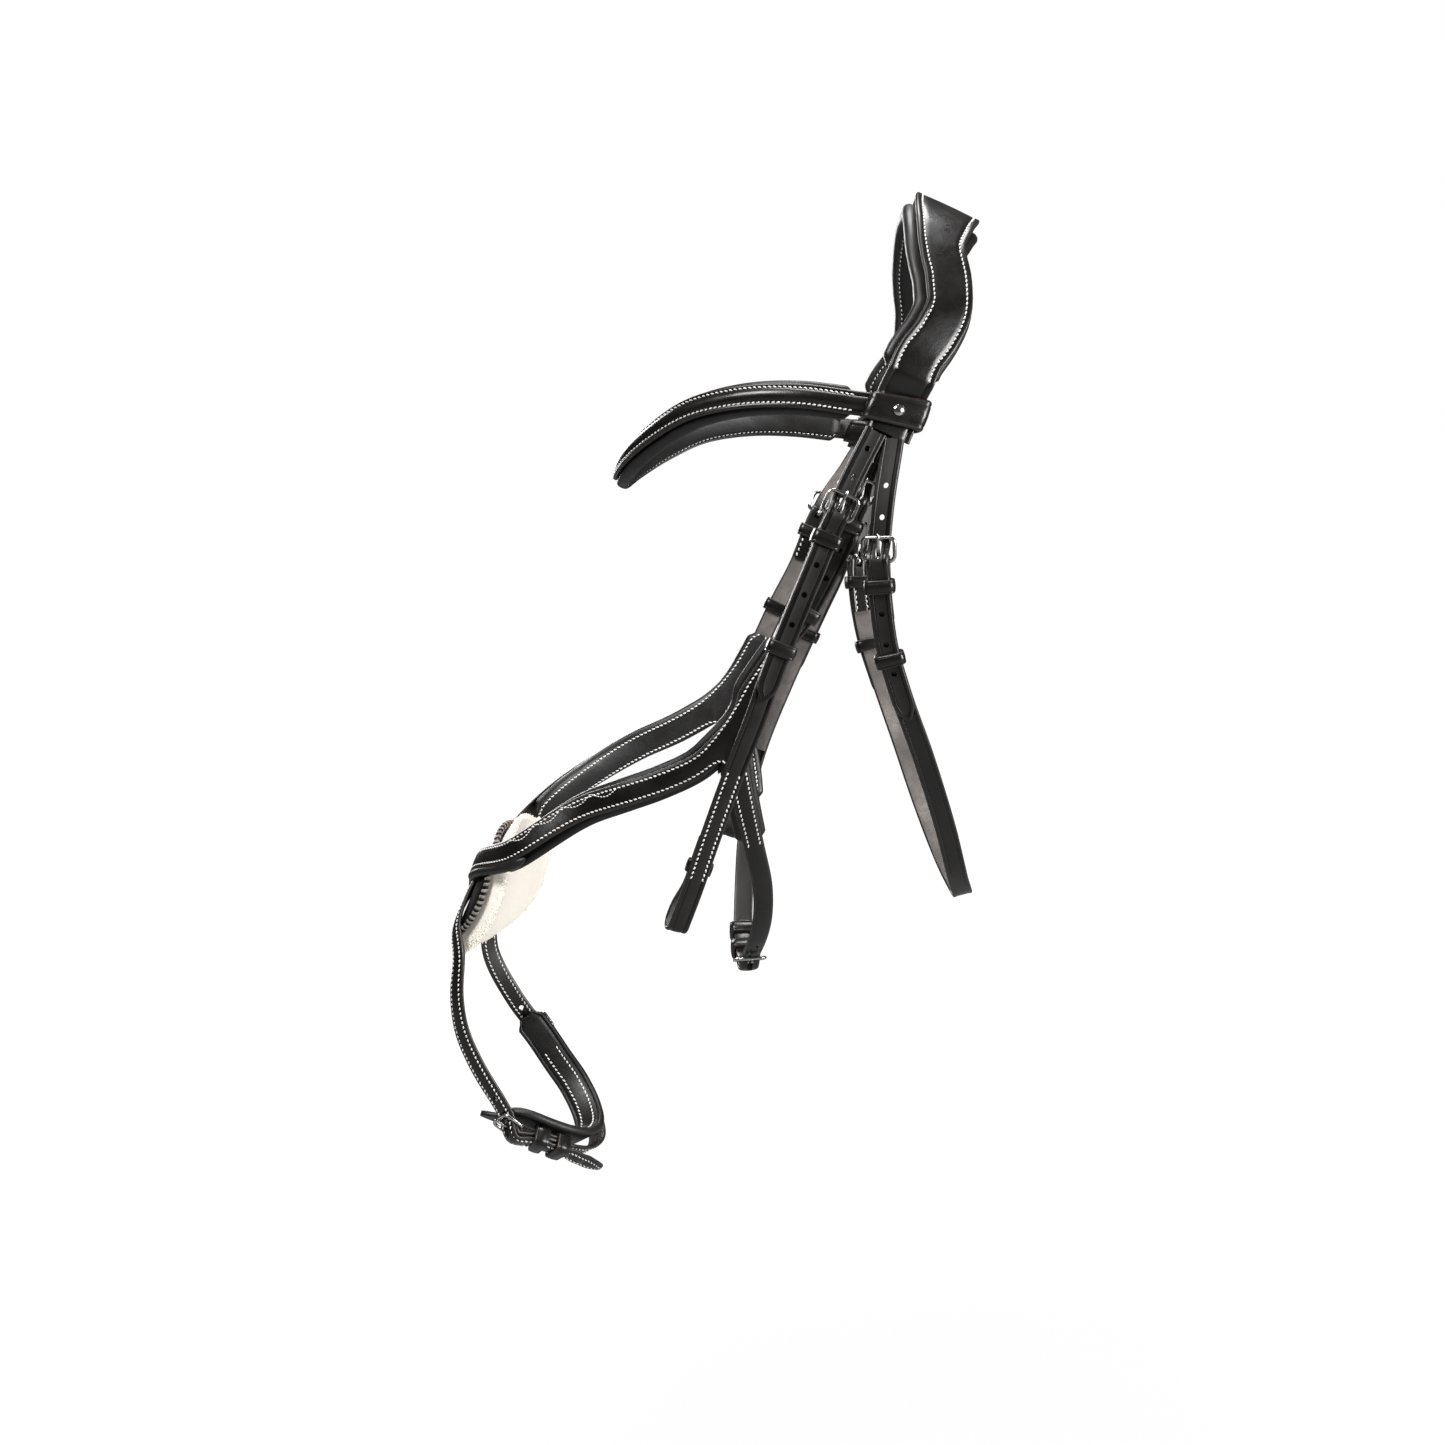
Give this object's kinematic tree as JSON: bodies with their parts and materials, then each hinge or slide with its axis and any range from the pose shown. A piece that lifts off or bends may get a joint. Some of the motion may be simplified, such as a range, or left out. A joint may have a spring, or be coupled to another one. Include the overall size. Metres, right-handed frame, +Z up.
{
  "type": "figure eight noseband bridle",
  "caption": "Padded leather bridle with a crossed figure eight noseband, fleece nose disc, browband, cheekpieces and throatlash.",
  "frame": {"origin": "The flat middle of the underside of the crown padding, where the bridle rests on the poll.", "axes": "+Z is up, toward the crown; -X is forward, toward the nose; -Y is the near side, which faces the viewer in the picture, and +Y the far side."},
  "size_m": [0.3514, 0.2154, 0.6466],
  "materials": {
    "leather": "semi-gloss black bridle leather with rolled dark brown edges",
    "keeper_leather": "semi-gloss black leather bent to a loop",
    "padding": "soft matt black leather over foam",
    "disc": "smooth black leather",
    "fleece": "cream white fleece with a short pile",
    "steel": "bright stainless steel"
  },
  "bodies": {
    "bridle": {"browband_leather": "leather", "browband_padding": "padding", "chin_pad": "padding", "chin_strap": "leather", "crown_leather": "leather", "crown_padding": "padding", "far_browband_loop": "keeper_leather", "far_chin_buckle": "steel", "far_chin_keeper": "keeper_leather", "far_noseband_buckle": "steel", "far_noseband_keeper": "keeper_leather", "far_noseband_leather": "leather", "far_noseband_padding": "padding", "far_noseband_tip_keeper": "keeper_leather", "jaw_buckle": "steel", "jaw_keeper": "keeper_leather", "jaw_tip_keeper": "keeper_leather", "near_browband_loop": "keeper_leather", "near_chin_buckle": "steel", "near_chin_keeper": "keeper_leather", "near_chin_tip_keeper": "keeper_leather", "near_noseband_buckle": "steel", "near_noseband_keeper": "keeper_leather", "near_noseband_leather": "leather", "near_noseband_padding": "padding", "near_noseband_tip_keeper": "keeper_leather", "nose_disc": "disc", "nose_fleece": "fleece", "noseband_headstrap": "leather"},
    "near_cheek": {"near_cheek_billet": "leather", "near_cheekpiece": "leather", "near_cheek_buckle": "steel", "near_cheek_keeper": "keeper_leather", "near_bit_keeper": "keeper_leather"},
    "near_cheek_prong": {"near_cheek_prong": "steel"},
    "near_cheek_runner": {"near_cheek_runner": "keeper_leather"},
    "near_throat_prong": {"near_throat_prong": "steel"},
    "near_throat_runner": {"near_throat_runner": "keeper_leather"},
    "near_noseband_prong": {"near_noseband_prong": "steel"},
    "near_chin_prong": {"near_chin_prong": "steel"},
    "far_cheek": {"far_cheek_billet": "leather", "far_cheekpiece": "leather", "far_cheek_buckle": "steel", "far_cheek_keeper": "keeper_leather", "far_bit_keeper": "keeper_leather"},
    "far_cheek_prong": {"far_cheek_prong": "steel"},
    "far_cheek_runner": {"far_cheek_runner": "keeper_leather"},
    "far_throat_prong": {"far_throat_prong": "steel"},
    "far_throat_runner": {"far_throat_runner": "keeper_leather"},
    "far_noseband_prong": {"far_noseband_prong": "steel"},
    "far_chin_prong": {"far_chin_prong": "steel"},
    "throatlash": {"throatlash_strap": "leather", "near_throat_billet": "leather", "near_throat_buckle": "steel", "near_throat_keeper": "keeper_leather", "far_throat_billet": "leather", "far_throat_buckle": "steel", "far_throat_keeper": "keeper_leather"},
    "jaw_prong": {"jaw_prong": "steel"}
  },
  "joints": [
    {"name": "near_cheek_swing", "type": "hinge", "parent": "bridle", "child": "near_cheek", "pos_m": [-0.04447, -0.08738, -0.1344], "axis": [-0.8788, -0.1087, 0.4647], "range_deg": [0, 20]},
    {"name": "near_cheek_prong_turn", "type": "hinge", "parent": "near_cheek", "child": "near_cheek_prong", "pos_m": [-0.06791, -0.09687, -0.18382], "axis": [0.911, 0.0969, -0.4009], "range_deg": [0, 8]},
    {"name": "near_cheek_runner_slide", "type": "slide", "parent": "near_cheek", "child": "near_cheek_runner", "axis": [-0.3683, 0.0057, -0.9297], "range_m": [-0.01, 0.01]},
    {"name": "far_cheek_swing", "type": "hinge", "parent": "bridle", "child": "far_cheek", "pos_m": [-0.03908, 0.08757, -0.13732], "axis": [0.9812, -0.1436, -0.1289], "range_deg": [0, 20]},
    {"name": "far_cheek_prong_turn", "type": "hinge", "parent": "far_cheek", "child": "far_cheek_prong", "pos_m": [-0.04649, 0.09729, -0.18381], "axis": [-0.9383, 0.2116, 0.2735], "range_deg": [0, 8]},
    {"name": "far_cheek_runner_slide", "type": "slide", "parent": "far_cheek", "child": "far_cheek_runner", "axis": [-0.4179, -0.0427, -0.9075], "range_m": [-0.01, 0.01]},
    {"name": "throatlash_swing", "type": "hinge", "parent": "bridle", "child": "throatlash", "pos_m": [-0.03433, -0.08732, -0.14408], "axis": [-0.0334, -0.9994, 0.0135], "range_deg": [0, 25]},
    {"name": "near_throat_prong_turn", "type": "hinge", "parent": "throatlash", "child": "near_throat_prong", "pos_m": [-0.0417, -0.09129, -0.21026], "axis": [0.9729, -0.2312, -0.0061], "range_deg": [0, 8]},
    {"name": "near_throat_runner_slide", "type": "slide", "parent": "throatlash", "child": "near_throat_runner", "axis": [0.2661, 0.1744, -0.948], "range_m": [-0.006, 0.006]},
    {"name": "far_throat_prong_turn", "type": "hinge", "parent": "throatlash", "child": "far_throat_prong", "pos_m": [-0.0426, 0.08371, -0.21017], "axis": [-0.9502, -0.3041, 0.0684], "range_deg": [0, 5]},
    {"name": "far_throat_runner_slide", "type": "slide", "parent": "throatlash", "child": "far_throat_runner", "axis": [0.2616, -0.1123, -0.9586], "range_m": [-0.006, 0.006]},
    {"name": "near_noseband_prong_turn", "type": "hinge", "parent": "bridle", "child": "near_noseband_prong", "pos_m": [-0.05495, -0.08234, -0.17442], "axis": [0.9267, 0.1693, -0.3355], "range_deg": [0, 8]},
    {"name": "near_chin_prong_turn", "type": "hinge", "parent": "bridle", "child": "near_chin_prong", "pos_m": [-0.27264, -0.04602, -0.58519], "axis": [0.5736, -0.6129, 0.5434], "range_deg": [0, 8]},
    {"name": "far_noseband_prong_turn", "type": "hinge", "parent": "bridle", "child": "far_noseband_prong", "pos_m": [-0.07028, 0.08439, -0.1762], "axis": [-0.8831, 0.0728, 0.4635], "range_deg": [0, 8]},
    {"name": "far_chin_prong_turn", "type": "hinge", "parent": "bridle", "child": "far_chin_prong", "pos_m": [-0.2679, 0.04883, -0.5507], "axis": [-0.8058, -0.1671, -0.5682], "range_deg": [0, 8]},
    {"name": "jaw_prong_turn", "type": "hinge", "parent": "bridle", "child": "jaw_prong", "pos_m": [-0.12043, -0.00234, -0.47988], "axis": [0.9823, 0.1855, 0.0276], "range_deg": [0, 8]}
  ]
}
